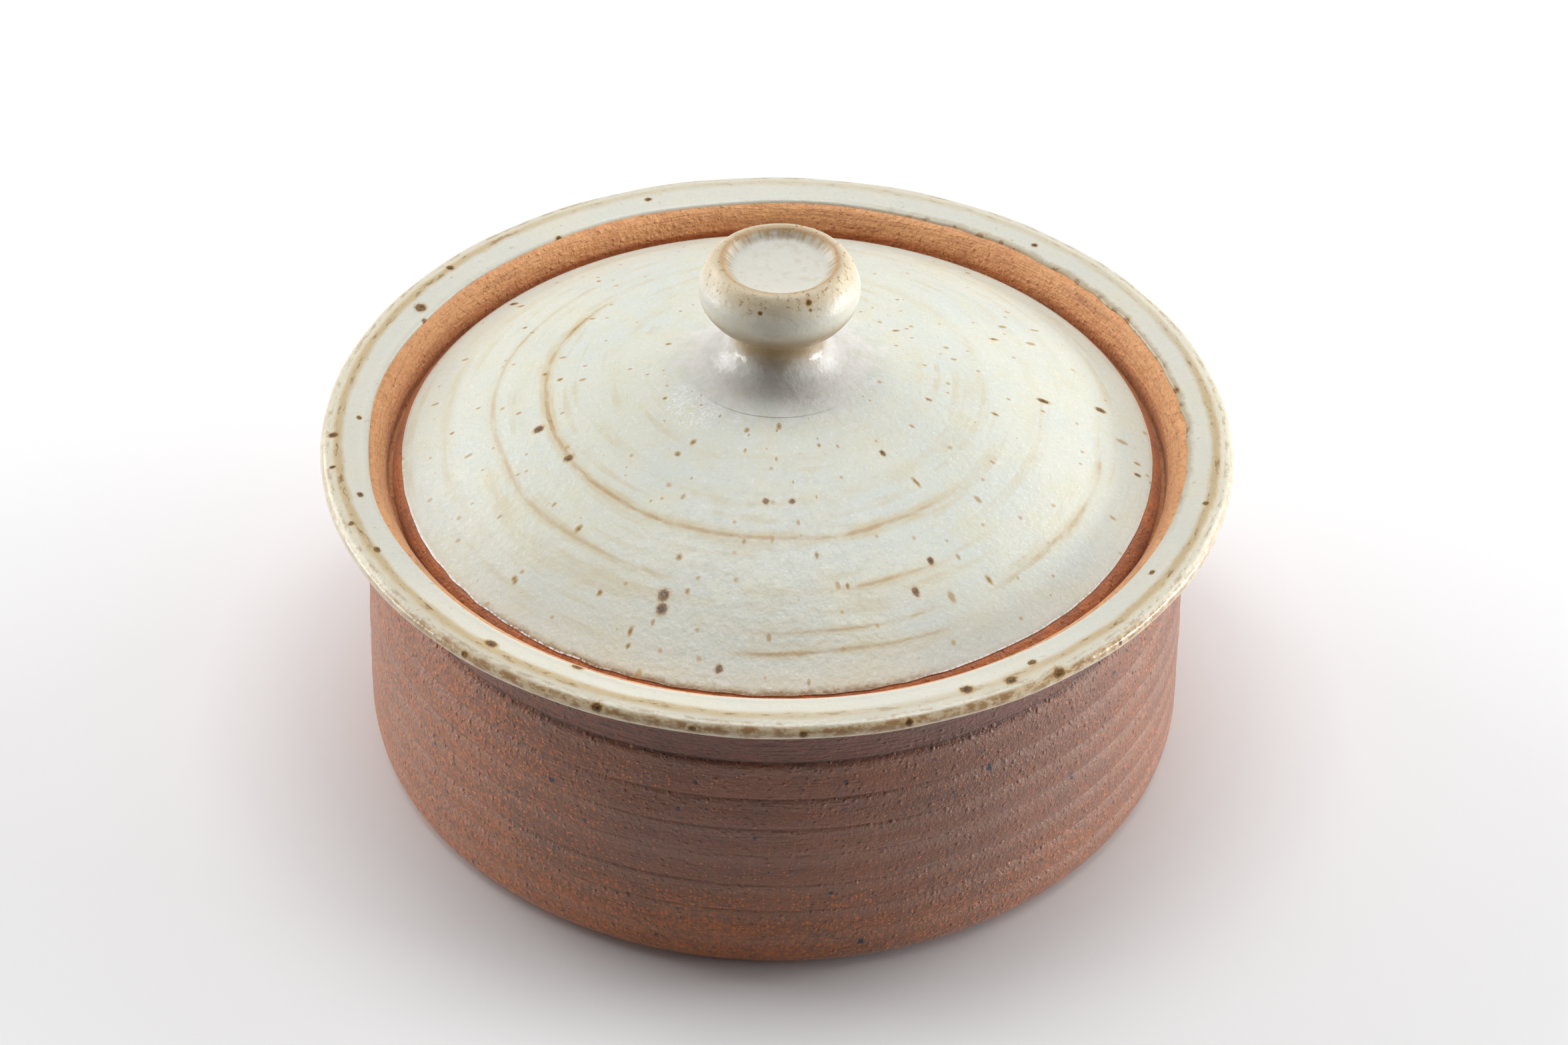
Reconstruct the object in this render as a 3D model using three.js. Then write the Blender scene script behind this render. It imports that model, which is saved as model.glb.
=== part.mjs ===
// Low, wide stoneware butter crock with a domed lid that drops into a gallery inside the rim.
//
// Three pieces, all thrown on the wheel and so all turned about the +Z axis:
//   crock_body  the pot: foot ring, floor, wall, gallery and flanged rim in one thrown piece
//   lid         the domed lid, which rests by its flat edge on the gallery's ledge
//   lid_knob    the dished knob, thrown on its own and luted to the middle of the lid
//
// Millimetres, +Z up. The origin is the middle of the foot's underside.
import * as THREE from 'three';

// ---- Driving dimensions -------------------------------------------------------------------
const RIM_RADIUS = 107.7; // outermost edge of the flange
const RIM_HEIGHT = 80; // height of that edge above the table
const CREST_RADIUS = 104; // highest circle of the flange's rounded lip
const CREST_RISE = 2; // how far the crest stands above the outermost edge

const FOOT_RADIUS = 96; // outside of the flat foot ring
const FOOT_WIDTH = 9; // width of the foot ring's flat face
const FOOT_RECESS = 1.6; // how deep the base is turned inside the foot ring
const BASE_RADIUS = 99.9; // widest part of the wall, low down
const NECK_RADIUS = 94.6; // groove under the collar, the wall's narrowest circle
const NECK_HEIGHT = 60; // height of that groove

const FLOOR_TOP = 8; // height of the inside of the floor
const WALL = 5.8; // thickness of the wall

const GALLERY_RADIUS = 92.5; // upright wall of the gallery
const GALLERY_MOUTH = 95.5; // inner corner of the flange, where the gallery begins
const LEDGE_HEIGHT = 70; // flat ledge that carries the lid
const LEDGE_RADIUS = 83.4; // inner edge of the ledge

const LID_RADIUS = 91.3; // leaves 1.2 mm all round inside the gallery
const LID_SEAT = 84.6; // inner edge of the lid's flat seat
const LID_SHOULDER_RADIUS = 88.6; // where the dome turns over into the lid's edge
const LID_SHOULDER_HEIGHT = 75.6;
const LID_CROWN = 101.6; // height of the top of the dome under the knob
const LID_THICKNESS = 5.5;

const KNOB_TOP = 128.4; // height of the knob's crest, the top of the whole object
const KNOB_CREST_RADIUS = 14.3;
const KNOB_RADIUS = 18.6; // widest part of the knob
const KNOB_WIDEST = 120.6; // height of that widest part
const KNOB_NECK_RADIUS = 10.4;
const KNOB_NECK_HEIGHT = 108;
const KNOB_FOOT_RADIUS = 18.2; // where the knob's foot runs out on the dome
const KNOB_DISH = 3; // depth of the hollow in the knob's top

const GAP = 0.3; // between pieces that rest on or join each other
const SEGMENTS = 72; // facets round the crock and the lid
const KNOB_SEGMENTS = 48;

// ---- Materials ----------------------------------------------------------------------------
const material = (color, roughness) =>
  new THREE.MeshStandardMaterial({ color, roughness, metalness: 0 });
const unglazedStoneware = material(0x8a5a41, 0.85);
const paleGlaze = material(0xd9dccf, 0.4);
const knobGlaze = material(0xdedace, 0.4);

// ---- Profile helpers ----------------------------------------------------------------------
const point = (radius, height) => new THREE.Vector2(radius, height);

// A smooth stretch of profile through the given points.
const smooth = (points, steps) => new THREE.SplineCurve(points).getPoints(steps);

// Turns a profile, walked from the axis below to the axis above, into a closed solid.
function turned(name, stretches, segments, finish) {
  const mesh = new THREE.Mesh(new THREE.LatheGeometry(stretches.flat(), segments), finish);
  mesh.name = name;
  // A lathe turns about Y, so the solid is stood up to turn about Z.
  mesh.rotation.x = Math.PI / 2;
  return mesh;
}

// ---- Crock body ---------------------------------------------------------------------------
function crockBody() {
  const footInside = FOOT_RADIUS - FOOT_WIDTH;
  const base = [
    point(0, FOOT_RECESS),
    point(footInside - 2, FOOT_RECESS),
    point(footInside, 0),
    point(FOOT_RADIUS, 0),
  ];
  const wall = smooth(
    [
      point(FOOT_RADIUS + 2.2, 1.1),
      point(BASE_RADIUS - 0.3, 3.6),
      point(BASE_RADIUS, 12),
      point(BASE_RADIUS - 0.8, 27),
      point(BASE_RADIUS - 1.4, 42),
      point(BASE_RADIUS - 3, 51),
      point(NECK_RADIUS + 0.9, NECK_HEIGHT - 2.2),
    ],
    9,
  );
  const collar = smooth(
    [
      point(NECK_RADIUS, NECK_HEIGHT),
      point(NECK_RADIUS + 0.8, NECK_HEIGHT + 6),
      point(NECK_RADIUS + 2.1, NECK_HEIGHT + 11.5),
      point(NECK_RADIUS + 5.4, RIM_HEIGHT - 4.2),
      point(RIM_RADIUS - 3, RIM_HEIGHT - 2.2),
    ],
    6,
  );
  const lip = smooth(
    [
      point(RIM_RADIUS - 0.9, RIM_HEIGHT - 1.3),
      point(RIM_RADIUS, RIM_HEIGHT),
      point(RIM_RADIUS - 0.7, RIM_HEIGHT + 0.9),
      point(CREST_RADIUS, RIM_HEIGHT + CREST_RISE),
    ],
    6,
  );
  const gallery = [
    point((CREST_RADIUS + GALLERY_MOUTH) / 2, RIM_HEIGHT + 1.4),
    point(GALLERY_MOUTH, RIM_HEIGHT),
    point(GALLERY_MOUTH - 1.3, RIM_HEIGHT - 1.5),
    point(GALLERY_RADIUS + 0.5, RIM_HEIGHT - 4),
    point(GALLERY_RADIUS, RIM_HEIGHT - 6.2),
    point(GALLERY_RADIUS, LEDGE_HEIGHT),
    point(LEDGE_RADIUS, LEDGE_HEIGHT),
  ];
  const inside = smooth(
    [
      point(LEDGE_RADIUS, LEDGE_HEIGHT - 3.5),
      point(NECK_RADIUS - WALL - 0.6, NECK_HEIGHT - 2),
      point(BASE_RADIUS - WALL - 1.2, 40),
      point(BASE_RADIUS - WALL - 0.6, 20),
      point(BASE_RADIUS - WALL - 4, FLOOR_TOP + 3),
      point(BASE_RADIUS - WALL - 12, FLOOR_TOP),
    ],
    9,
  );
  const floor = [point(0, FLOOR_TOP)];
  const stretches = [base, wall, collar, lip, gallery, inside, floor];
  return turned('crock_body', stretches, SEGMENTS, unglazedStoneware);
}

// ---- Lid ----------------------------------------------------------------------------------
// The dome from its crown to its shoulder, lowered by the given depth.
function dome(depth, outerRadius, steps) {
  const fall = LID_CROWN - LID_SHOULDER_HEIGHT;
  const shares = [
    [0, 0],
    [0.24, 0.055],
    [0.43, 0.21],
    [0.62, 0.415],
    [0.81, 0.68],
    [1, 1],
  ];
  const points = shares.map(([across, down]) =>
    point(across * outerRadius, LID_CROWN - depth - down * fall),
  );
  return smooth(points, steps);
}

function lid() {
  const seatHeight = LEDGE_HEIGHT + GAP;
  const underside = dome(LID_THICKNESS, LID_SEAT, 9);
  underside[underside.length - 1] = point(LID_SEAT, seatHeight);
  const edge = [
    point(LID_RADIUS - 0.6, seatHeight),
    point(LID_RADIUS, seatHeight + 0.8),
    point(LID_RADIUS - 0.1, LID_SHOULDER_HEIGHT - 3.2),
    point(LID_RADIUS - 1, LID_SHOULDER_HEIGHT - 1.4),
  ];
  const top = dome(0, LID_SHOULDER_RADIUS, 10).reverse();
  return turned('lid', [underside, edge, top], SEGMENTS, paleGlaze);
}

// ---- Knob ---------------------------------------------------------------------------------
function lidKnob() {
  const footHeight = LID_CROWN + GAP;
  const foot = [
    point(0, footHeight),
    point(KNOB_FOOT_RADIUS / 2, footHeight - 0.4),
    point(KNOB_FOOT_RADIUS, footHeight - 1.1),
    point(KNOB_FOOT_RADIUS, footHeight - 0.5),
  ];
  const stem = smooth(
    [
      point(KNOB_FOOT_RADIUS - 4.4, footHeight + 1),
      point(KNOB_NECK_RADIUS + 0.7, KNOB_NECK_HEIGHT - 2.6),
      point(KNOB_NECK_RADIUS, KNOB_NECK_HEIGHT),
      point(KNOB_NECK_RADIUS + 0.4, KNOB_NECK_HEIGHT + 2.6),
      point(KNOB_NECK_RADIUS + 1.4, KNOB_NECK_HEIGHT + 4),
      point(KNOB_RADIUS - 4.8, KNOB_WIDEST - 7.2),
      point(KNOB_RADIUS - 2.1, KNOB_WIDEST - 5.6),
    ],
    10,
  );
  const crown = smooth(
    [
      point(KNOB_RADIUS - 0.5, KNOB_WIDEST - 3.3),
      point(KNOB_RADIUS, KNOB_WIDEST),
      point(KNOB_RADIUS - 0.8, KNOB_WIDEST + 3.6),
      point(KNOB_CREST_RADIUS + 2, KNOB_TOP - 1.4),
      point(KNOB_CREST_RADIUS, KNOB_TOP),
      point(KNOB_CREST_RADIUS - 1.5, KNOB_TOP - 0.7),
    ],
    9,
  );
  const dish = smooth(
    [
      point(KNOB_CREST_RADIUS - 2.8, KNOB_TOP - 1.8),
      point(KNOB_CREST_RADIUS - 6, KNOB_TOP - KNOB_DISH + 0.4),
      point(0, KNOB_TOP - KNOB_DISH),
    ],
    4,
  );
  return turned('lid_knob', [foot, stem, crown, dish], KNOB_SEGMENTS, knobGlaze);
}

// ---- Assembly -----------------------------------------------------------------------------
const crock = new THREE.Group();
crock.name = 'butter_crock';
crock.add(crockBody(), lid(), lidKnob());

export default crock;
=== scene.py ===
import math

import bpy
import numpy as np
from mathutils import Matrix, Vector


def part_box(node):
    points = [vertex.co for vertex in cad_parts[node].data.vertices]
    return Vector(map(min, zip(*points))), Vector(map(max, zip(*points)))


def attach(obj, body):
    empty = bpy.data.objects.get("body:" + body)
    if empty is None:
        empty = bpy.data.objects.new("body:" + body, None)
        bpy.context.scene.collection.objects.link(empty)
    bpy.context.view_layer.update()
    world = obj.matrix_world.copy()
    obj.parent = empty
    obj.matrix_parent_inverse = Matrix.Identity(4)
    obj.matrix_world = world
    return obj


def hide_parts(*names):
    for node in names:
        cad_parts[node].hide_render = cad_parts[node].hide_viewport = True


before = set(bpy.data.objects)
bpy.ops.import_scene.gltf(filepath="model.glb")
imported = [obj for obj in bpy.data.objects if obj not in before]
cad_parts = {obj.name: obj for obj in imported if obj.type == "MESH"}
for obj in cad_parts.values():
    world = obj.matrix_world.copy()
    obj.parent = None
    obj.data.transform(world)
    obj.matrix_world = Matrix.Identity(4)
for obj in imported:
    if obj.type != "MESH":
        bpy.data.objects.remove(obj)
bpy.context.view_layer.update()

# Butter crock: bare stoneware with a pale glaze on its flanged rim, its inside and its domed lid.
# Profiles are in millimetres, in the frame's own axes: +Z up, the foot's underside at z = 0.
# Angles run round the wheel axis from the front (-Y), and are positive towards the right (+X).

# ---- Dimensions read from the frame -----------------------------------------------------------
MM = 0.001


crock_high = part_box("crock_body")[1] / MM
lid_low, lid_high = (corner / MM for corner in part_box("lid"))
knob_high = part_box("lid_knob")[1] / MM

RIM = crock_high.x  # outermost edge of the flange
CREST = crock_high.z  # top of the flange's lip
LID_EDGE = lid_high.x  # outside of the lid
SEAT = lid_low.z  # flat underside of the lid's edge
CROWN = lid_high.z  # top of the dome, under the knob
KNOB = knob_high.x  # widest part of the knob
TOP = knob_high.z  # crest of the knob

GLAZE = 0.45  # thickness of the glaze over the clay
BEAD = 0.16  # how far the glaze swells beside its edges
SUNK = 0.25  # how far the under side of a glaze skin is sunk into the clay
DOME_SUNK = 0.3  # the same under the dome's glaze
LEDGE = SEAT - 0.3  # flat ledge of the gallery
NECK = 60.0  # height of the groove under the collar
WALL_RADIUS = 99.0  # outside of the wall, about halfway up
KNOB_FOOT = 20.0  # circle where the knob's glaze runs into the dome's

# How many facets each piece has round its axis.
FACETS = {
    "crock_clay": 320,
    "flange_glaze": 640,
    "inside_glaze": 200,
    "lid_clay": 300,
    "dome_glaze": 640,
    "knob_glaze": 288,
    "lid_inside_glaze": 200,
}

# Throwing lines left round the outside of the wall, by height.
WALL_LINES = [2.5, 10.5, 18.5, 26.2, 35.2, 42.8, 50.5, NECK - 0.2]
COLLAR_LINE = NECK + 1.9  # a finer line just over the neck's groove

# Iron-brown throwing rings on the dome: radius, half width, from and to angle, strength.
DOME_RINGS = [
    (54.6, 0.7, -128, 42, 1.0), (54.2, 1.6, -150, 62, 0.35), (66.6, 0.7, -128, -108, 0.55),
    (66.9, 0.8, -96, -18, 0.5), (67.2, 0.6, 2, 28, 0.75), (71.8, 2.6, -80, 30, 0.5),
    (78.6, 1.2, -132, -58, 0.45), (76.7, 0.8, 46, 88, 0.7), (76.4, 0.5, -2, 24, 0.6),
    (80.8, 0.6, 0, 26, 0.8), (85.6, 1.1, 48, 86, 0.3), (44.9, 1.4, -70, 100, 0.35),
    (47.6, 1.1, 92, 156, 0.4), (38.6, 1.2, -160, -40, 0.2), (34.4, 1.6, -60, 120, 0.22),
    (60.6, 1.6, -160, -60, 0.25), (60.2, 1.8, 60, 160, 0.22), (83.4, 1.6, -170, -96, 0.3),
    (71.0, 1.2, 90, 165, 0.25),
]

# Iron specks on the dome: angle, radius, half length down the slope, half width.
DOME_SPECKS = [
    (-20.0, 71.2, 1.25, 1.1), (-19.4, 74.2, 1.15, 1.05), (-75.0, 57.2, 1.1, 0.9),
    (-60.6, 54.6, 0.95, 0.85), (95.7, 77.3, 1.1, 0.75), (92.0, 62.7, 1.2, 0.65),
    (26.0, 71.4, 0.95, 0.7), (31.7, 66.0, 0.75, 0.65), (-2.8, 45.4, 0.65, 0.65),
    (4.6, 45.4, 0.65, 0.65), (39.0, 38.2, 0.8, 0.5), (-128.8, 85.3, 1.1, 0.65),
    (-8.0, 84.6, 0.8, 0.75), (82.0, 85.5, 0.7, 0.45),
]

# Paler flecks on the dome, only stained tan: angle, radius, half length, half width.
DOME_FLECKS = [
    (-96.0, 55.4, 0.6, 0.5), (-92.0, 51.3, 0.6, 0.5), (114.6, 56.8, 1.1, 0.45),
    (41.0, 48.2, 1.3, 0.4), (74.4, 36.3, 0.8, 0.4), (120.0, 31.9, 0.8, 0.4),
    (84.8, 85.3, 0.7, 0.45), (-127.6, 81.2, 1.0, 0.5), (-118.0, 70.2, 0.6, 0.4),
    (-139.6, 69.5, 0.7, 0.4), (-43.0, 64.8, 0.9, 0.6), (-46.0, 81.0, 0.6, 0.5),
    (9.0, 59.0, 0.7, 0.4), (-35.8, 38.4, 0.6, 0.6), (-63.0, 29.2, 0.5, 0.4),
    (-106.0, 27.0, 0.6, 0.4), (39.7, 75.0, 1.0, 0.5), (-45.5, 81.4, 0.6, 0.5),
    (-85.6, 76.7, 0.5, 0.4), (80.0, 51.3, 0.8, 0.4), (-20.0, 62.0, 0.7, 0.6),
    (-16.0, 69.1, 0.6, 0.5), (-31.0, 75.0, 0.7, 0.5), (14.0, 66.9, 0.6, 0.4),
    (-23.0, 80.5, 1.0, 0.45), (-22.4, 83.5, 0.6, 0.45), (1.0, 24.6, 0.8, 0.5),
    (-15.0, 26.6, 0.6, 0.5), (-34.0, 34.0, 0.8, 0.5), (18.0, 31.0, 0.5, 0.4),
]

# Specks on the flange: angle, radius, half length along the radius, half width.
FLANGE_SPECKS = [
    (-117.0, 99.6, 1.2, 1.3), (-37.0, 102.0, 1.0, 1.3), (-25.7, 97.2, 0.8, 1.2),
    (23.9, 102.9, 1.1, 1.3), (29.5, 104.3, 0.9, 1.3), (33.6, 101.6, 0.7, 0.9),
    (-126.7, 103.4, 0.9, 0.8), (-85.6, 104.5, 1.0, 0.8), (-72.8, 100.0, 0.6, 0.8),
    (-60.8, 102.5, 0.6, 0.9), (-79.0, 104.9, 0.6, 0.5), (-67.0, 104.6, 0.6, 0.6),
    (-90.0, 99.0, 0.5, 0.6), (58.0, 99.8, 0.5, 0.8), (74.0, 102.8, 0.6, 0.6),
    (100.0, 96.9, 0.8, 0.9), (118.0, 96.7, 1.0, 1.2), (-160.0, 101.0, 0.5, 0.8),
    (-144.0, 96.3, 0.6, 0.8), (-115.0, 96.4, 0.5, 0.7), (140.0, 100.4, 0.5, 0.7),
]

# Specks on the outer face of the lip: angle, height, half height, half width.
LIP_SPECKS = [
    (35.4, 81.2, 1.0, 1.4), (-38.6, 80.6, 0.6, 0.8), (-20.4, 80.8, 0.9, 1.1),
    (3.6, 80.0, 0.7, 0.8), (15.8, 80.4, 0.8, 0.8), (-9.0, 80.2, 0.5, 0.8),
    (45.0, 80.4, 0.6, 0.5),
]

# Specks on the outside of the knob: angle, radius, height, half size.
KNOB_SPECKS = [
    (24.0, 15.9, 126.6, 0.75), (24.5, 16.9, 125.2, 0.4), (-14.0, 17.2, 125.0, 0.45),
    (-52.0, 16.4, 125.8, 0.4), (48.0, 15.6, 126.8, 0.4), (160.0, 14.6, 127.8, 0.5),
    (-150.0, 15.0, 127.6, 0.5), (100.0, 16.6, 126.0, 0.4), (-100.0, 17.8, 124.0, 0.4),
]

# Specks inside the pot: angle, radius, height, half length, half width, half height.
LINING_SPECKS = [
    (20, 60, 8, 0.8, 0.6, 3), (-70, 42, 8, 0.7, 0.9, 3), (165, 91, 36, 3, 0.7, 0.9),
    (-150, 92, 48, 3, 0.6, 0.6), (100, 92, 44, 3, 0.8, 0.7), (-20, 91, 30, 3, 0.6, 0.8),
    (60, 92, 55, 3, 0.5, 0.6),
]

# Blue-black iron specks on the bare wall: angle, height, half size.
WALL_SPECKS = [
    (-30.0, 45.0, 0.85), (-22.0, 52.0, 0.6), (30.0, 50.0, 0.95), (22.0, 56.5, 0.5),
    (26.0, 57.0, 0.4), (-38.0, 55.5, 0.6), (8.0, 24.0, 0.6), (-12.0, 47.0, 0.5),
    (44.0, 35.0, 0.6), (41.0, 41.0, 0.45), (12.0, 8.0, 0.85), (-52.0, 33.0, 0.6),
    (-25.0, 37.0, 0.6), (-2.0, 41.0, 0.5),
]


# ---- Shape helpers ----------------------------------------------------------------------------
def distances(path):
    """How far along a path each of its points lies."""
    return np.concatenate([[0], np.cumsum(np.hypot(*np.diff(path, axis=0).T))])


def spline(points, step):
    """A smooth line through the points, cut into even steps of about that length."""
    p = np.array(points, float)
    ends = np.vstack([2 * p[0] - p[1], p, 2 * p[-1] - p[-2]])
    t = np.linspace(0, 1, 40, endpoint=False)[:, None]
    runs = []
    for a, b, c, d in zip(ends[:-3], ends[1:-2], ends[2:-1], ends[3:]):
        cubic = 2 * b + (c - a) * t
        cubic = cubic + (2 * a - 5 * b + 4 * c - d) * t**2 + (3 * b - a - 3 * c + d) * t**3
        runs.append(cubic / 2)
    fine = np.vstack(runs + [p[-1:]])
    along = distances(fine)
    count = max(2, int(round(along[-1] / step)) + 1)
    even = np.linspace(0, along[-1], count)
    return np.column_stack([np.interp(even, along, fine[:, k]) for k in (0, 1)])


def normals(profile):
    """The outward direction at each point of a profile that is walked with the clay on its left."""
    d = np.gradient(profile, axis=0)
    d /= np.maximum(np.hypot(d[:, 0], d[:, 1]), 1e-9)[:, None]
    return np.column_stack([d[:, 1], -d[:, 0]])


def pushed(profile, relief):
    """Radii and heights of a profile moved outward by a relief, one column per angle."""
    out = normals(profile)
    return profile[:, :1] + out[:, :1] * relief, profile[:, 1:] + out[:, 1:] * relief


def angles(count):
    """That many even angles round the axis, as one row."""
    return np.arange(count)[None, :] * 2 * math.pi / count


def ripple(theta, along, seed, waves, pitch):
    """Smooth irregular waves between -1 and 1, round the pot and along its profile."""
    rng = np.random.default_rng(seed)
    total = 0
    for _ in range(7):
        turns = rng.integers(waves[0], waves[1] + 1)
        length = rng.uniform(*pitch)
        round_phase, along_phase = rng.uniform(0, 2 * math.pi, 2)
        round_wave = np.cos(turns * theta + round_phase)
        total = total + round_wave * np.cos(2 * math.pi * along / length + along_phase)
    return total / 3


def fade(value, start, end):
    """0 before start, 1 after end, and smooth between them; start may be the larger."""
    t = np.clip((value - start) / (end - start), 0, 1)
    return t * t * (3 - 2 * t)


def turned(name, radius, height, closed, extra=None, sharp=35):
    """A mesh from rows of radii and heights in millimetres, one column per angle.

    A closed profile joins its last row to its first. An open one starts and ends on the axis.
    """
    rows, columns = radius.shape
    theta = angles(columns)
    x, y = radius * np.sin(theta), -radius * np.cos(theta)
    grid = np.stack([x, y, np.broadcast_to(height, radius.shape)], -1) * MM
    index = np.arange(rows * columns).reshape(rows, columns)
    points = grid.reshape(-1, 3)
    if not closed:
        keep = slice(1, rows - 1)
        points = np.vstack([grid[keep].reshape(-1, 3), grid[0].mean(0), grid[-1].mean(0)])
        index = np.arange((rows - 2) * columns).reshape(rows - 2, columns)
    below = index if closed else index[:-1]
    above = np.roll(index, -1, 0) if closed else index[1:]
    next_below, next_above = np.roll(below, -1, 1), np.roll(above, -1, 1)
    faces = np.stack([below, next_below, next_above, above], -1).reshape(-1, 4).tolist()
    if not closed:
        first, last = len(points) - 2, len(points) - 1
        start, end = index[0], index[-1]
        faces += [[first, b, a] for a, b in zip(start, np.roll(start, -1))]
        faces += [[last, a, b] for a, b in zip(end, np.roll(end, -1))]
    mesh = bpy.data.meshes.new(name)
    mesh.from_pydata(points.tolist(), [], faces)
    for key, values in (extra or {}).items():
        values = np.broadcast_to(values, radius.shape)
        flat = values.reshape(-1)
        if not closed:
            inner = values[1:-1].reshape(-1)
            flat = np.concatenate([inner, [values[0].mean(), values[-1].mean()]])
        layer = mesh.attributes.new(key, "FLOAT", "POINT")
        layer.data.foreach_set("value", flat.astype(np.float32))
    outward(mesh)
    mesh.polygons.foreach_set("use_smooth", [True] * len(mesh.polygons))
    mesh.set_sharp_from_angle(angle=math.radians(sharp))
    return add_object(name, mesh)


def add_object(name, data):
    """Puts a new object in the scene, with no turn or shift."""
    made = bpy.data.objects.new(name, data)
    bpy.context.scene.collection.objects.link(made)
    return made


def outward(mesh):
    """Flips the mesh if its faces look inward."""
    mesh.calc_loop_triangles()
    corners = np.empty(len(mesh.loop_triangles) * 3, np.int32)
    mesh.loop_triangles.foreach_get("vertices", corners)
    points = np.empty(len(mesh.vertices) * 3, np.float32)
    mesh.vertices.foreach_get("co", points)
    a, b, c = points.reshape(-1, 3)[corners.reshape(-1, 3)].transpose(1, 0, 2).astype(float)
    if np.einsum("ij,ij->i", a, np.cross(b, c)).sum() < 0:
        mesh.flip_normals()


def rounded(gap, width):
    """0 at a glaze's edge and 1 from that width inward, like a quarter of a circle."""
    return np.sqrt(np.clip(1 - (1 - np.clip(gap / width, 0, 1)) ** 2, 0, 1))


def bead(gap, crest):
    """The bead that a glaze swells into at a distance from its edge, in millimetres."""
    return BEAD * np.exp(-(((gap - crest) / 0.8) ** 2))


def lining(name, path, lift, back, step):
    """A skin of glaze over a path that ends on the axis, between back and lift off the clay.

    The attribute "edge" holds the distance from the skin's edge; step is the path's spacing.
    """
    theta = angles(FACETS[name])
    under, over = pushed(path, back + 0 * theta), pushed(path, lift + 0 * theta)
    radius = np.vstack([under[0][::-1], over[0]])
    height = np.vstack([under[1][::-1], over[1]])
    depth = np.concatenate([np.zeros(len(path)), np.arange(len(path)) * step])[:, None]
    return turned(name, radius, height, False, {"edge": depth})


# ---- Profiles of the clay, in millimetres -----------------------------------------------------
def wall_profile():
    """The outside of the crock from the foot ring to the groove under the collar."""
    return [
        spline([(85.0, 1.6), (86.4, 1.1), (87.2, 0.2), (88.4, 0)], 0.7),
        spline([(89.2, 0), (92.6, 0)], 1.1),
        spline(
            [(93.2, 0.1), (95.4, 0.4), (97.9, 1.4), (99.4, 3.9), (99.8, 8), (99.8, 14)], 0.6
        ),
        near_lines(spline([(99.7, 14.6), (99.1, 27), (98.5, 42), (96.9, 51), (95.5, 58.2)], 0.2)),
    ]


def near_lines(profile):
    """Keeps the rows of a profile that lie close to a throwing line, and a fifth of the rest."""
    away = np.abs(profile[:, 1:] - np.array(WALL_LINES)).min(1)
    keep = (away < 0.55) | (np.arange(len(profile)) % 5 == 0)
    return profile[keep]


def collar_profile():
    """The collar from the groove up to the underside of the lip."""
    return [
        spline([(95.4, 58.5), (95.0, 59.1), (94.5, 59.5), (94.3, 59.9), (94.6, 60.4)], 0.2),
        spline([(94.6, 60.7), (94.8, 62.7)], 0.2),
        spline([(94.9, 63.0), (95.4, 66), (96.6, 71.4), (98.4, 74.4), (100.2, 75.9)], 0.4),
        spline([(100.6, 76.1), (103, 76.9), (105.4, 77.9)], 0.6),
    ]


def flange_path():
    """The clay under the flange's glaze, from below the lip to the mouth of the gallery."""
    g = GLAZE
    return spline(
        [
            (RIM - 3.2, 77.5 + g), (RIM - 1.4, 78.2 + g), (RIM - g - 0.15, 79.4),
            (RIM - g - 0.25, 80.4), (RIM - g - 1.0, 81.1), (RIM - g - 2.4, CREST - g - 0.15),
            (RIM - 3.7, CREST - g), (RIM - 5.6, CREST - g - 0.2), (RIM - 8.1, CREST - g - 0.75),
            (RIM - 10.4, CREST - g - 1.25), (RIM - 12.2, CREST - g - 1.95),
            (RIM - 13.3, CREST - g - 3.2), (RIM - 14.2, CREST - 5.2),
        ],
        0.4,
    )


def gallery_profile():
    """The bare gallery and its ledge, from the mouth down and in."""
    return [
        spline([(93.3, CREST - 5.8), (92.7, 74.6), (92.5, 72), (92.5, LEDGE + 0.9)], 0.5),
        spline([(92.3, LEDGE + 0.3), (91.9, LEDGE)], 0.3),
        spline([(90.9, LEDGE), (84.6, LEDGE)], 0.9),
        spline([(84.0, LEDGE - 0.1), (83.5, LEDGE - 0.6), (83.4, LEDGE - 1.4)], 0.3),
    ]


def inside_path():
    """The clay of the inside, from under the ledge to the middle of the floor."""
    return spline(
        [
            (83.4, LEDGE - 2.2), (83.6, LEDGE - 4), (88.2, 58), (92.5, 40), (93.3, 20),
            (90, 11), (80, 8), (50, 7.7), (20, 7.9), (0, 7.9),
        ],
        1.3,
    )


def dome_path():
    """The clay of the dome under its glaze, from the crown out to the lid's edge."""
    fall = CROWN - 75.6
    shares = [
        (0, 0), (0.12, 0.02), (0.24, 0.06), (0.43, 0.21), (0.62, 0.415), (0.81, 0.68),
        (0.955, 0.925),
    ]
    crown = CROWN - GLAZE
    points = [(share * 88.6, crown - down * fall) for share, down in shares]
    return spline(points + [(88.9, 75.0), (90.1, 74.0), (91.0, 72.9)], 0.6)


def dome_ripple(radius, theta):
    """Low throwing ridges on the dome, in millimetres, level round the knob's foot."""
    rise = 0
    for at, half, low, high, strength in DOME_RINGS:
        middle, reach = math.radians((low + high) / 2), math.radians((high - low) / 2)
        near = fade(np.cos(theta - middle), math.cos(min(reach + 0.35, math.pi)), math.cos(reach))
        rise = rise + 0.16 * strength * near * np.exp(-(((radius - at) / (half + 1.2)) ** 2))
    broad = 0.13 * np.sin(radius * 2 * math.pi / 10.7 + 0.5 * np.sin(theta + 1))
    broad = broad + 0.05 * np.sin(radius * 2 * math.pi / 4.3 + 0.8 * np.sin(2 * theta))
    uneven = 0.09 * ripple(theta, radius, 5, (1, 6), (20, 60))
    return (rise + broad + uneven) * fade(radius, 21, 30) * fade(radius, 88.5, 86)


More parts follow.
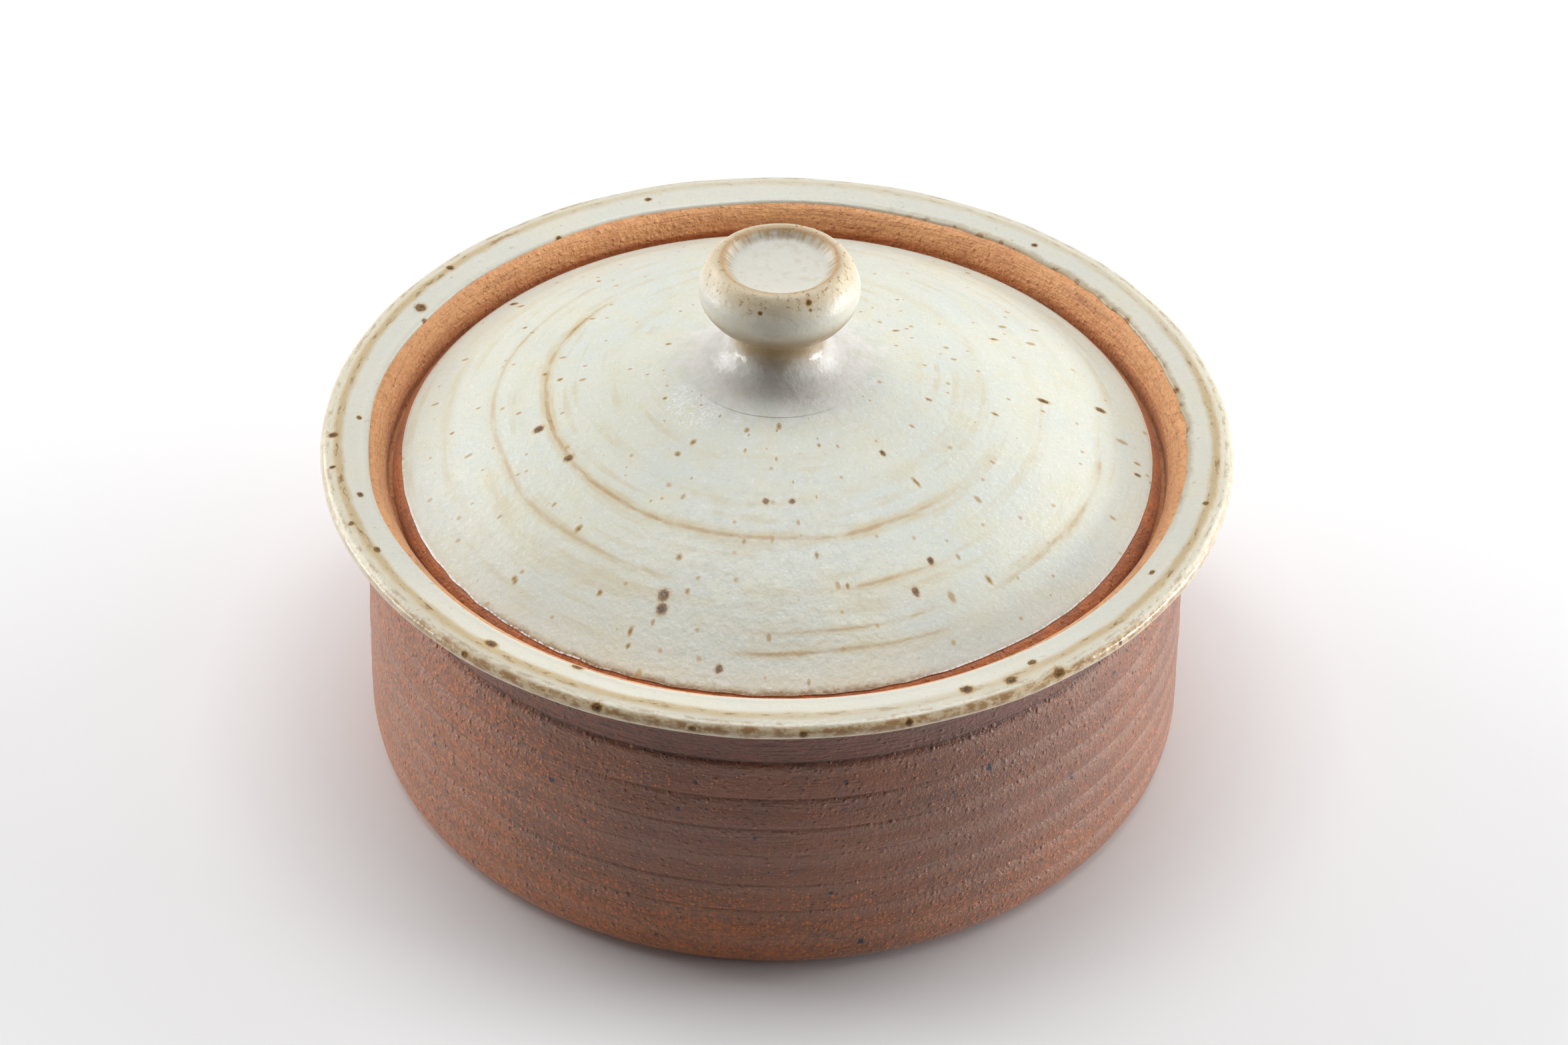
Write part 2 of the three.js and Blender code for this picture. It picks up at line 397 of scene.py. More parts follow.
# ---- Pieces of the crock ----------------------------------------------------------------------
def wall_relief(height, theta):
    """Scalloped throwing bands on the wall and fine combed lines on the collar.

    Returns the relief, how close each point is to a throwing line, and its place in its band.
    """
    lines = np.array(WALL_LINES)
    band = np.clip(np.searchsorted(lines, height, side="right") - 1, 0, len(lines) - 2)
    share = np.clip((height - lines[band]) / (lines[band + 1] - lines[band]), 0, 1)
    depth = 0.42 + 0.14 * np.sin(theta * 2 + band * 1.7)
    scallop = depth * (4 * share * (1 - share)) ** 0.6 - 0.3
    away = np.abs(height[:, :, None] - np.append(lines[1:], COLLAR_LINE)).min(2)
    groove_strength = 0.6 + 0.4 * ripple(theta, height, 13, (1, 6), (30, 60))
    groove = np.exp(-((away / 0.4) ** 2)) * np.clip(groove_strength, 0.1, 1)
    on_wall = fade(height, 3, 8) * fade(height, 59.6, 58.5)
    fine = 0.05 * ripple(theta, height, 11, (0, 3), (1.1, 2.4))
    combed = 0.13 * ripple(theta, height, 12, (0, 4), (0.9, 2.2))
    combed = combed * (0.7 + 0.5 * np.sin(3 * theta + 0.4 * height))
    on_collar = fade(height, 60.4, 61.6) * fade(height, 77, 75)
    relief = (scallop + fine - 0.19 * groove) * on_wall + combed * on_collar
    return relief - 0.12 * groove * on_collar, groove * fade(height, 3, 8), share * on_wall


def make_crock_clay():
    theta = angles(FACETS["crock_clay"])
    outside = np.vstack([[(0, 1.6)], spline([(20, 1.6), (84, 1.6)], 8)] + wall_profile())
    outside = np.vstack([outside] + collar_profile())
    inside = np.vstack([flange_path()[::2]] + gallery_profile() + [inside_path()])
    profile = np.vstack([outside, inside])
    relief, groove, share = wall_relief(profile[:, 1:] + 0 * theta, theta)
    for values in (relief, groove, share):
        values[len(outside) :] = 0
    gallery = (profile[:, :1] < 94.5) & (profile[:, :1] > 91.5) & (profile[:, 1:] > LEDGE + 1)
    gallery[: len(outside)] = False
    turning = 0.06 * ripple(theta, profile[:, 1:], 21, (0, 4), (1.2, 3.5))
    radius, height = pushed(profile, relief + np.where(gallery, turning, 0))
    drift = 0.45 * np.sin(theta + 0.6) * fade(profile[:, 1:], 6, 14) * fade(profile[:, 1:], 58, 52)
    height[: len(outside)] += drift[: len(outside)]
    return turned("crock_clay", radius, height, False, {"groove": groove, "band": share}, 50)


def flange_edges(theta, mouth):
    """How far along its path the flange's glaze starts and ends: ragged at the mouth's right."""
    ragged = fade(np.cos(theta - math.radians(118)), 0.7, 0.9)
    wave = ripple(theta, 0, 31, (3, 14), (50, 60))
    bitten = ripple(theta, 0, 32, (22, 70), (50, 60))
    start = 1.2 + 0.25 * ripple(theta, 0, 33, (4, 22), (50, 60))
    return start, mouth + 0.25 * wave + ragged * (0.35 * bitten - 0.3)


def make_flange_glaze():
    """Attributes: "edge" is how far in from the glaze's edge, and "along" how far along its path."""
    theta = angles(FACETS["flange_glaze"])
    path = flange_path()
    along, out = distances(path), normals(path)
    start, end = flange_edges(theta, along[-1] - 4.6)
    even = np.linspace(0, 1, len(path))[:, None]
    share = 0.45 * (1 - np.cos(even * math.pi)) / 2 + 0.55 * even
    s = start + (end - start) * np.vstack([share, share[::-4]])
    gap = np.minimum(s - start, end - s)
    thick = GLAZE * (1 + 0.25 * ripple(theta, s, 34, (2, 24), (6, 18)))
    lift = (rounded(gap, 0.7) * thick + bead(gap, 1.3)) * fade(gap, 0, 0.2)
    lift[len(path) :] = -SUNK
    radius = np.interp(s, along, path[:, 0]) + lift * np.interp(s, along, out[:, 0])
    height = np.interp(s, along, path[:, 1]) + lift * np.interp(s, along, out[:, 1])
    return turned("flange_glaze", radius, height, True, {"edge": gap, "along": s}, 50)


def make_inside_glaze():
    path = inside_path()
    theta = angles(FACETS["inside_glaze"])
    rings = 0.12 * np.sin(path[:, 1:] * 2 * math.pi / 6.3)
    rings = rings + 0.15 * np.sin(path[:, :1] * 2 * math.pi / 11 + theta)
    row = np.arange(len(path))[:, None]
    lift = GLAZE * fade(row, 0, 2) + rings * fade(row, 3, 8)
    lift = lift * fade(path[:, :1], 0, 3) + GLAZE * fade(path[:, :1], 3, 0)
    return lining("inside_glaze", path, lift, -SUNK, 1.3)


# ---- Pieces of the lid ------------------------------------------------------------------------
def lid_under_path():
    """The clay of the lid's hollow, from its flat seat in to the middle."""
    inner = dome_path()
    inner = inner[inner[:, 0] < 80][::3] - [0, 4.6]
    return np.vstack([spline([(84.6, SEAT), (84.2, SEAT + 0.5), (82.6, 73.2)], 0.6), inner[::-1]])


def make_lid_clay():
    theta = angles(FACETS["lid_clay"])
    seat = spline([(85.4, SEAT), (89.9, SEAT)], 1.0)
    side = [(90.5, SEAT + 0.05), (91.1, SEAT + 0.5), (LID_EDGE - 0.1, 71.4), (91.2, 72.3)]
    top = dome_path()[::-1]
    top = np.vstack([top[top[:, 0] > 84], top[top[:, 0] <= 84][::4]])
    profile = np.vstack([lid_under_path()[::-1], seat, spline(side, 0.3), top])
    relief = 0.05 * ripple(theta, profile[:, 1:], 41, (0, 5), (1.0, 2.4))
    on_edge = (profile[:, :1] > 89.5) & (profile[:, 1:] > SEAT + 0.4)
    relief = np.where(on_edge, relief, 0) + dome_clay_ripple(profile, theta)
    radius, height = pushed(profile, relief)
    return turned("lid_clay", radius, height, False, sharp=50)


def dome_clay_ripple(profile, theta):
    """The dome's ridges, carried down into the clay so that the glaze stays even."""
    on_top = profile[:, :1] * 0
    on_top[len(profile) // 2 :] = 1
    return (dome_ripple(profile[:, :1], theta) - 0.12 * fade(profile[:, :1], 87, 84)) * on_top


def dome_edge(theta):
    """How far out the dome's glaze reaches, for each angle."""
    front = fade(np.cos(theta + math.radians(22)), 0.5, 0.95)
    wave = 0.2 * ripple(theta, 0, 51, (3, 12), (50, 60))
    nibbled = 0.12 * ripple(theta, 0, 52, (24, 64), (50, 60))
    return 88.75 + 0.55 * front + wave + (0.35 + 0.65 * front) * nibbled


def make_dome_glaze():
    theta = angles(FACETS["dome_glaze"])
    path = dome_path()
    along, out = distances(path), normals(path)
    foot = np.interp(KNOB_FOOT - 2, path[:, 0], along)
    reach = np.interp(dome_edge(theta), path[:, 0], along)
    count = 122  # rows of the upper side, closer together near the edge
    share = np.linspace(0, 1, count)[:, None]
    share = np.where(share < 0.93, share * 0.96 / 0.93, 0.96 + (share - 0.93) * 0.04 / 0.07)
    s = foot + (reach - foot) * np.vstack([share, share[::-6], share[:1]])
    gap = reach - s
    base = np.interp(s, along, path[:, 0])
    swollen = bead(gap, 1.2) * fade(gap, 0, 0.3)
    lift = rounded(gap, 0.8) * GLAZE + swollen + dome_ripple(base, theta)
    lift[count:] = -DOME_SUNK
    radius = base + lift * np.interp(s, along, out[:, 0]) * fade(gap, 60, 50)
    height = np.interp(s, along, path[:, 1]) + lift * np.interp(s, along, out[:, 1])
    return turned("dome_glaze", radius, height, True, {"edge": gap}, 50)


def make_knob():
    theta = angles(FACETS["knob_glaze"])
    dome = dome_path() + [0, GLAZE]
    foot_z, beyond_z = np.interp([KNOB_FOOT, KNOB_FOOT + 2], dome[:, 0], dome[:, 1])
    skirt = spline(
        [
            (KNOB_FOOT + 2, beyond_z - 0.07), (KNOB_FOOT, foot_z), (17.6, 100.95),
            (15.4, 101.75), (13.2, 103.1), (11.5, 105.0), (10.6, 107.0), (10.35, 109.0),
            (10.6, 111.2),
        ],
        0.35,
    )
    head = spline(
        [
            (10.9, 111.7), (13.2, 112.6), (15.5, 114.2), (17.2, 116.2), (18.1, 117.9),
            (18.55, 119.4), (KNOB, 120.8), (18.45, 122.5), (17.85, 124.2), (16.9, 126.1),
            (15.8, 127.5), (14.8, 128.2), (14.1, TOP), (13.3, 128.25), (12.4, 127.5),
            (11.5, 126.6), (10.3, 126.0), (8.2, 125.65), (5, 125.45), (2, 125.4), (0, 125.4),
        ],
        0.35,
    )
    under_z = foot_z - 0.7
    base = [(0, under_z), (KNOB_FOOT - 0.4, under_z), (KNOB_FOOT + 1.6, beyond_z - 0.3)]
    profile = np.vstack([base, skirt, head])
    relief = 0.16 * ripple(theta, profile[:, 1:], 61, (1, 4), (9, 26))
    relief = relief + 0.05 * ripple(theta, profile[:, 1:], 62, (3, 9), (3, 8))
    relief = relief * fade(profile[:, 1:], 101.5, 106) * fade(profile[:, :1], 0, 5)
    radius, height = pushed(profile, relief)
    return turned("knob_glaze", radius, height, False, {"edge": 30.0}, 60)


def make_lid_inside_glaze():
    path = lid_under_path()[3:]
    ring = 0.12 * np.sin(path[:, :1] * 2 * math.pi / 8.6) * fade(path[:, :1], 0, 6)
    lift = -(GLAZE + ring) * fade(np.arange(len(path))[:, None], 0, 2)
    return lining("lid_inside_glaze", path, lift, SUNK, 1.8)


# ---- Material helpers -------------------------------------------------------------------------
def tint(red, green, blue):
    """A display colour, 0 to 255, as linear light."""
    levels = np.array([red, green, blue]) / 255
    light = np.where(levels <= 0.04045, levels / 12.92, ((levels + 0.055) / 1.055) ** 2.4)
    return (*light.tolist(), 1.0)


class Graph:
    """One material's nodes. Inputs may be numbers, colours or other nodes' outputs."""

    def __init__(self, name):
        self.material = bpy.data.materials.new(name)
        self.material.use_nodes = True
        self.nodes = self.material.node_tree.nodes
        self.links = self.material.node_tree.links
        self.nodes.clear()
        place = self.nodes.new("ShaderNodeTexCoord").outputs["Object"]
        self.place = self.vector("SCALE", place, scale=1 / MM)
        split = self.add("ShaderNodeSeparateXYZ", {0: self.place})
        x, y, self.z = split.outputs
        flat = self.combine(x, y)
        self.radius = self.vector("LENGTH", flat)
        self.heading = self.vector("NORMALIZE", flat)
        self.angle = self.math("ARCTAN2", x, self.times(y, -1))

    def add(self, kind, inputs=None, **settings):
        node = self.nodes.new(kind)
        for key, value in settings.items():
            setattr(node, key, value)
        for key, value in (inputs or {}).items():
            if isinstance(value, bpy.types.NodeSocket):
                self.links.new(value, node.inputs[key])
            else:
                node.inputs[key].default_value = value
        return node

    def math(self, operation, a, b=0.0, c=0.0):
        return self.add("ShaderNodeMath", {0: a, 1: b, 2: c}, operation=operation).outputs[0]

    def times(self, a, b):
        return self.math("MULTIPLY", a, b)

    def times_plus(self, a, b, c):
        return self.math("MULTIPLY_ADD", a, b, c)

    def larger(self, a, b):
        return self.math("MAXIMUM", a, b)

    def away(self, a, b):
        return self.math("ABSOLUTE", self.math("SUBTRACT", a, b))

    def combine(self, x, y, z=0):
        return self.add("ShaderNodeCombineXYZ", {0: x, 1: y, 2: z}).outputs[0]

    def vector(self, operation, a, b=(0, 0, 0), scale=1.0):
        inputs = {0: a, 1: b, 3: scale}
        node = self.add("ShaderNodeVectorMath", inputs, operation=operation)
        return node.outputs["Value" if operation in ("LENGTH", "DOT_PRODUCT") else "Vector"]

    def range(self, value, low, high, to_low=0.0, to_high=1.0):
        """A smooth step from to_low, where the value is low, to to_high, where it is high."""
        inputs = {0: value, 1: low, 2: high, 3: to_low, 4: to_high}
        return self.add("ShaderNodeMapRange", inputs, interpolation_type="SMOOTHSTEP").outputs[0]

    def noise(self, scale, detail=2.0, rough=0.5, place=None):
        """Noise with features of about the given size in millimetres."""
        inputs = {"Vector": place or self.place, "Scale": 1 / scale}
        inputs |= {"Detail": detail, "Roughness": rough}
        return self.add("ShaderNodeTexNoise", inputs).outputs[0]

    def clouds(self, scale, detail, rough, low, high, to_low=0.0, to_high=1.0):
        """Noise through a smooth step."""
        return self.range(self.noise(scale, detail, rough), low, high, to_low, to_high)

    def streaks(self, along, across, place, detail=2.0, rough=0.5):
        """Noise drawn out round the pot, in features of a given length and width in millimetres."""
        turn = self.vector("SCALE", self.heading, scale=100 / along)
        drawn = self.combine(0, 0, self.math("DIVIDE", place, across))
        return self.noise(1.0, detail, rough, self.vector("ADD", turn, drawn))

    def grains(self, size, low, high, flat=False, place=None):
        """Scattered round grains, a given distance apart: how far off a grain's outline a point is.

        Each grain's radius is a random share of the distance, between low and high.
        """
        inputs = {"Vector": place or self.place, "Scale": 1 / size}
        dimensions = "2D" if flat else "3D"
        node = self.add("ShaderNodeTexVoronoi", inputs, voronoi_dimensions=dimensions)
        chance = self.add("ShaderNodeSeparateColor", {0: node.outputs["Color"]}).outputs[0]
        reach = self.add("ShaderNodeMapRange", {0: chance, 3: low, 4: high}).outputs[0]
        return self.math("DIVIDE", node.outputs["Distance"], self.larger(reach, 0.001))

    def mix(self, factor, a, b):
        return self.add("ShaderNodeMix", {0: factor, 6: a, 7: b}, data_type="RGBA").outputs[2]

    def attribute(self, name):
        return self.add("ShaderNodeAttribute", attribute_name=name).outputs["Fac"]

    def facing(self, low, high, soft=14):
        """1 between two angles round the pot, in degrees, fading out over soft degrees."""
        middle, reach = math.radians((low + high) / 2), (high - low) / 2
        toward = (math.sin(middle), -math.cos(middle), 0)
        cosine = self.vector("DOT_PRODUCT", self.heading, toward)
        outer = math.cos(math.radians(min(reach + soft, 180)))
        inner = math.cos(math.radians(max(reach - soft, 0)))
        return self.range(cosine, outer, inner)

    def spots(self, places):
        """How far a point is from the nearest spot, with 1 at a spot's outline.

        Each place is (angle, radius, height, half length in or out, half width round, half height).
        """
        nearest = None
        for angle, radius, height, length, width, tall in places:
            turn = math.radians(angle)
            centre = (radius * math.sin(turn), -radius * math.cos(turn), height)
            inputs = {
                "Vector": self.place,
                "Location": centre,
                "Rotation": (0, 0, turn),
                "Scale": (width, length, tall),
            }
            local = self.add("ShaderNodeMapping", inputs, vector_type="TEXTURE").outputs[0]
            away = self.vector("LENGTH", local)
            nearest = away if nearest is None else self.math("MINIMUM", nearest, away)
        return nearest

    def over(self, share, colour):
        """Lays a colour over the material's own, as strongly as share says."""
        self.colour = self.mix(share, self.colour, colour)

    def finish(self, roughness, bumps, **constants):
        """Joins the shader. bumps is a list of (height, millimetres, strength)."""
        normal = None
        for height, size, strength in bumps:
            if not isinstance(size, bpy.types.NodeSocket):
                size = size * MM
            inputs = {"Height": height, "Distance": size, "Strength": strength}
            if normal is not None:
                inputs["Normal"] = normal
            normal = self.add("ShaderNodeBump", inputs).outputs[0]
        inputs = {"Base Color": self.colour, "Roughness": roughness}
        shader = self.add("ShaderNodeBsdfPrincipled", inputs)
        for key, value in constants.items():
            shader.inputs[key.replace("_", " ")].default_value = value
        if normal is not None:
            self.links.new(normal, shader.inputs["Normal"])
        output = self.nodes.new("ShaderNodeOutputMaterial")
        self.links.new(shader.outputs[0], output.inputs[0])
        return self.material


# ---- Glaze ------------------------------------------------------------------------------------
GLAZE_PALE = tint(215, 216, 202)
GLAZE_COOL = tint(209, 213, 204)
GLAZE_WARM = tint(216, 211, 182)
GLAZE_OLIVE = tint(214, 206, 182)
IRON_TAN = tint(186, 152, 92)
IRON_OLIVE = tint(166, 140, 94)
IRON_BROWN = tint(124, 88, 46)
IRON_DARK = tint(72, 54, 38)
# Frost round the knob's foot, painted paler than the frost as fill light.
FROST_AND_PAINTED_FILL = tint(236, 232, 231)
# White of the glaze's crystals, also used for painted glints.
CRYSTAL_AND_GLINT = tint(240, 242, 244)


def glaze_base(g):
    """Cloudy pale glaze, cool where thick, creamy where thin; frost and painted fill light round the
    knob's foot, painted shade on its stem.
    """
    g.colour = g.mix(g.clouds(24, 3, 0.6, 0.38, 0.62), GLAZE_COOL, GLAZE_PALE)
    cream = g.range(g.streaks(16, 7, g.radius, 4, 0.65), 0.45, 0.72, 0, 0.5)
    g.over(cream, GLAZE_WARM)
    breaking = g.clouds(1.3, 3, 0.7, 0.52, 0.72, 0, 0.32)
    g.over(breaking, tint(186, 194, 194))
    milky = g.clouds(0.7, 3, 0.7, 0.52, 0.74, 0, 0.5)
    g.over(milky, CRYSTAL_AND_GLINT)
    # Frosty glaze round the knob's foot: real frost, painted paler as fill light that lifts the
    # knob's shadow on the dome.
    pooled = g.times_plus(g.noise(4, 4, 0.7), 22, g.radius)
    pale = g.times(g.clouds(2.2, 3, 0.7, 0.3, 0.6, 0.4, 1), g.range(g.z, 114, 111))
    g.over(g.times(g.range(pooled, 38, 28, 0, 0.7), pale), FROST_AND_PAINTED_FILL)
    # Painted shade: dark tan on the knob's stem and the low part of its head, under the head's
    # overhang.
    neck = g.times_plus(g.noise(3, 2), 3, g.z)
    neck = g.times(g.range(neck, 105, 110.5), g.range(neck, 122.5, 114.5))
    g.over(g.times(neck, 0.95), tint(158, 136, 96))


def iron_rings(g, rings):
    """Tan throwing rings, each over its own part of the turn: soft bands with a firmer core."""
    sway = g.times_plus(g.noise(30, 1), 2.4, -1.2)
    jitter = g.times_plus(g.noise(1.6, 3, 0.7), 0.5, -0.25)
    radius = g.math("ADD", g.radius, g.math("ADD", sway, jitter))
    band, core = 0.0, 0.0
    for at, half, low, high, strength in rings:
        away = g.away(radius, at)
        part = g.facing(low, high)
        wide = g.times(g.range(away, half * 2.2 + 0.8, 0), part)
        thin = g.times(g.range(away, half * 1.3, half * 0.2), part)
        band = g.times_plus(wide, strength, band)
        core = g.times_plus(thin, strength if half < 1 else 0.2 * strength, core)
    broken = g.range(g.streaks(22, 3.5, g.radius, 3, 0.55), 0.36, 0.62, 0.35, 1)
    return g.times(band, broken), g.times(core, broken)


def iron_specks(g, places, flecks=(), scatter=True):
    """Iron specks and paler flecks over a scatter of small tan ones, each with a stained halo."""
    wobble = g.times_plus(g.noise(0.8, 3, 0.6), 1.2, -0.6)
    if scatter:
        # A map that stretches with the radius, so that the drops are long down the slope.
        down = g.times(g.math("LOGARITHM", g.radius, math.e), 5.0)
        slope = g.combine(g.times(g.angle, 9.0), down)
        drops = g.grains(1.0, -0.2, 0.09, flat=True, place=slope)
        drops = g.times_plus(wobble, 0.7, drops)
        g.over(g.range(drops, 1.6, 0.6, 0, 0.75), tint(174, 134, 72))
        dust = g.times_plus(wobble, 1.2, g.grains(8.0, -0.07, 0.06, flat=True))
        g.over(g.range(dust, 2.0, 0.5, 0, 0.75), IRON_TAN)
        g.over(g.clouds(1.7, 3, 0.6, 0.68, 0.78, 0, 0.6), IRON_TAN)
    if flecks:
        near = g.math("ADD", g.spots(flecks), wobble)
        g.over(g.range(near, 1.7, 0.8, 0, 0.85), IRON_TAN)
        g.over(g.range(near, 1.0, 0.3, 0, 0.7), IRON_BROWN)
    away = g.math("ADD", g.spots(places), wobble)
    g.over(g.range(away, 1.9, 0.9, 0, 0.8), IRON_TAN)
    g.over(g.range(away, 1.3, 0.9, 0, 0.9), IRON_BROWN)
    pits = g.clouds(0.8, 2, 0.5, 0.4, 0.55)
    g.over(g.times(g.range(away, 1.0, 0.6, 0, 0.9), pits), IRON_DARK)


def edge_halo(g, where, spotted=False):
    """Glaze run thin to tan and brown along its edge; where says how strongly, 0 to 1."""
    ragged = g.times_plus(g.noise(2.0, 4, 0.7), -2.6, g.attribute("edge"))
    tan = g.times(g.range(ragged, 0.9, -0.7, 0, 0.8), where)
    brown = g.times(g.range(ragged, -0.1, -1.1, 0, 0.9), where)
    if spotted:
        brown = g.times(brown, g.clouds(3.5, 2, 0.5, 0.54, 0.62))
    g.over(tan, IRON_OLIVE)
    g.over(brown, IRON_BROWN)


def glaze_finish(g, glossy):
    """Satin glaze with an orange-peel surface and tiny crystals; glossy is where it is shiny."""
    satin = g.clouds(2.6, 4, 0.65, 0.3, 0.7, 0.3, 0.46)
    crystal = g.clouds(0.5, 2, 0.6, 0.6, 0.72)
    satin = g.times_plus(crystal, -0.16, satin)
    shine = g.larger(glossy, g.range(g.attribute("edge"), 1.0, 0.3))
    satin = g.times(satin, g.range(shine, 0, 1, 1, 0.5))
    bumps = [
        (g.noise(6.0, 3, 0.6), 0.25, 0.6),
        (g.noise(1.5, 3, 0.6), 0.12, 0.7),
        (g.noise(0.42, 2, 0.6), 0.04, 0.6),
    ]
    return g.finish(satin, bumps, Specular_IOR_Level=0.5)


def dome_material():
    g = Graph("dome_glaze")
    glaze_base(g)
    arcs = g.range(g.streaks(60, 2.6, g.radius, 2, 0.45), 0.53, 0.68, 0, 0.42)
    arcs = g.times(arcs, g.range(g.streaks(12, 12, g.radius, 2, 0.5), 0.38, 0.6, 0.3, 1))
    g.over(g.times(arcs, g.range(g.radius, 26, 36)), tint(202, 187, 150))
    band, core = iron_rings(g, DOME_RINGS)
    band = g.times(g.range(band, 0.0, 0.8, 0, 0.75), g.range(g.radius, 90, 80, 0.5, 1))
    g.over(band, tint(203, 189, 152))
    g.over(g.range(core, 0.05, 0.95, 0, 0.75), tint(180, 144, 96))
    knots = g.clouds(2.4, 3, 0.6, 0.56, 0.68)
    g.over(g.times(g.range(core, 0.4, 1.1, 0, 0.6), knots), IRON_BROWN)
    # Frost crystals front-left of the knob's foot, painted white: partly real crystals, partly a
    # painted highlight where the left lamp glints off them.
    needles = g.clouds(0.6, 3, 0.8, 0.5, 0.6)
    spread = g.times_plus(g.noise(3.5, 3), 1.4, g.spots([(-50, 25.0, 99, 6.5, 8.5, 30)]))
    frost_and_glint = g.times(g.range(spread, 2.0, 1.3), needles)
    g.over(frost_and_glint, CRYSTAL_AND_GLINT)
    edge_halo(g, g.range(g.facing(-40, 18, 16), 0, 1, 0.08, 0.75))
    # Painted highlight: white glints on the bead along the glaze's edge, only front-left and
    # front-right, where the side lamps catch it.
    bead = g.larger(g.facing(-68, -26, 8), g.facing(24, 56, 8))
    bead = g.times(bead, g.range(g.attribute("edge"), 0.55, 0.2))
    g.over(g.times(bead, g.clouds(0.8, 2, 0.5, 0.4, 0.55)), CRYSTAL_AND_GLINT)
    iron_specks(g, on_dome(DOME_SPECKS), on_dome(DOME_FLECKS))
    return glaze_finish(g, g.times(frost_and_glint, 0.8))


def knob_material():
    """Glaze broken to tan round the knob's crest, and pale in its hollow."""
    g = Graph("knob_glaze")
    glaze_base(g)
    ragged = g.times_plus(g.noise(2.2, 4, 0.7), 3.0, -1.5)
    high = g.range(g.z, 123.5, 126.0)
    head = g.range(g.z, 117, 121)
    g.over(g.times(head, 0.4), tint(218, 213, 201))
    # Painted shade: darker tan under the knob's head, where the head shades its stem.
    under = g.times(g.range(g.z, 121.0, 116.5), g.range(g.z, 111.5, 115.5, 0, 0.65))
    g.over(under, tint(148, 120, 82))
    hollow = g.times(g.range(g.radius, 11.5, 9.5), high)
    g.over(g.times(hollow, 0.7), tint(223, 221, 211))
    mottled = g.times(hollow, g.clouds(2.6, 4, 0.7, 0.5, 0.68, 0, 0.5))
    g.over(mottled, tint(198, 190, 168))
    beige = g.range(g.times_plus(ragged, 1.8, g.z), 122.0, 127.5, 0, 0.75)
    beige = g.times(beige, g.range(g.radius, 12.0, 13.0))
    g.over(beige, tint(204, 184, 146))
    line = g.times_plus(ragged, 0.4, g.away(g.radius, 13.3))
    line = g.range(line, 1.0, 0.1, 0, 0.62)
    g.over(g.times(line, high), tint(184, 140, 92))
    combs = g.range(g.streaks(7, 5, g.radius, 3, 0.6), 0.4, 0.62, 0.3, 1)
    inner = g.range(g.times_plus(ragged, 0.5, g.radius), 10.2, 12.2)
    inner = g.times(inner, g.range(g.radius, 13.9, 12.9))
    inner = g.times(g.times(inner, combs), high)
    g.over(g.times(inner, 0.8), tint(180, 146, 100))
    stained = g.times(g.clouds(1.3, 3, 0.7, 0.56, 0.68), g.times(beige, 1.1))
    g.over(stained, tint(150, 118, 76))
    iron_specks(g, knob_places(), scatter=False)
    shiny = g.times(g.range(g.z, 112, 108, 0, 0.9), g.range(g.radius, 20, 13.5))
    return glaze_finish(g, shiny)


def flange_material():
    """Glaze broken to tan in streaks along the crest, and to brown over the lip's outer face."""
    g = Graph("flange_glaze")
    along = g.attribute("along")
    glaze_base(g)
    g.over(0.4, tint(226, 219, 205))
    drift = g.times_plus(g.streaks(7, 3, along, 3, 0.6), 3.0, -1.5)
    outer = g.range(g.math("ADD", along, drift), 9.4, 7.0)
    sides = g.range(g.facing(-130, -20, 40), 0, 1, 0.5, 0.7)
    g.over(g.times(outer, sides), GLAZE_OLIVE)
    crest = g.away(g.times_plus(drift, 0.5, along), 8.0)
    where = g.larger(g.facing(-140, 0, 30), g.facing(35, 105, 20))
    where = g.range(where, 0, 1, 0.35, 1)
    tan = g.times(g.range(crest, 1.8, 0.2, 0, 0.85), where)
    dashes = g.range(g.streaks(5, 1.3, along, 4, 0.7), 0.52, 0.64)
    dark = g.times(g.times(g.range(crest, 1.1, 0.2, 0, 0.9), dashes), where)
    g.over(tan, tint(196, 172, 128))
    g.over(dark, tint(142, 108, 68))
    middle = g.away(g.times_plus(drift, 0.3, along), 4.0)
    front = g.range(g.facing(-44, 54, 24), 0, 1, 0.3, 1)
    face = g.times(g.range(middle, 1.3, 0.5), front)
    mottled = g.range(g.streaks(3.2, 1.5, along, 4, 0.7), 0.4, 0.6)
    g.over(g.times(face, 0.65), tint(210, 180, 132))
    face = g.times(face, mottled)
    g.over(g.times(face, 0.8), tint(150, 106, 60))
    bead = g.range(along, 2.9, 2.2, 0, 0.7)
    g.over(bead, tint(226, 220, 198))
    inner = g.times(g.facing(78, 160, 20), g.range(along, 9, 11))
    edge_halo(g, g.times(inner, 0.75), spotted=True)
    rim = g.range(g.away(along, 5.6), 0.8, 0.1, 0, 0.55)
    rim = g.times(rim, g.range(g.streaks(4, 1.5, along, 4, 0.7), 0.46, 0.6))
    g.over(rim, tint(166, 132, 86))
    g.over(g.clouds(1.7, 3, 0.6, 0.64, 0.76, 0, 0.6), IRON_TAN)
    iron_specks(g, flange_places(), scatter=False)
    return glaze_finish(g, g.range(along, 7.5, 6.0, 0, 0.9))


def lining_material():
    g = Graph("lining_glaze")
    glaze_base(g)
    edge_halo(g, 0.8)
    iron_specks(g, LINING_SPECKS, scatter=False)
    return glaze_finish(g, 0.4)


# ---- Bare stoneware ---------------------------------------------------------------------------
CLAY_BROWN = tint(142, 89, 64)
CLAY_VIOLET = tint(125, 81, 61)
CLAY_WARM = tint(156, 98, 74)
CLAY_ORANGE = tint(208, 118, 62)
CLAY_TOASTED = tint(170, 107, 52)
# Painted light: paler clay for the upper part of each wall band.
CLAY_PAINTED_LIGHT = tint(172, 136, 118)
CLAY_DARK = tint(78, 54, 44)
CLAY_BLUE = tint(42, 50, 70)


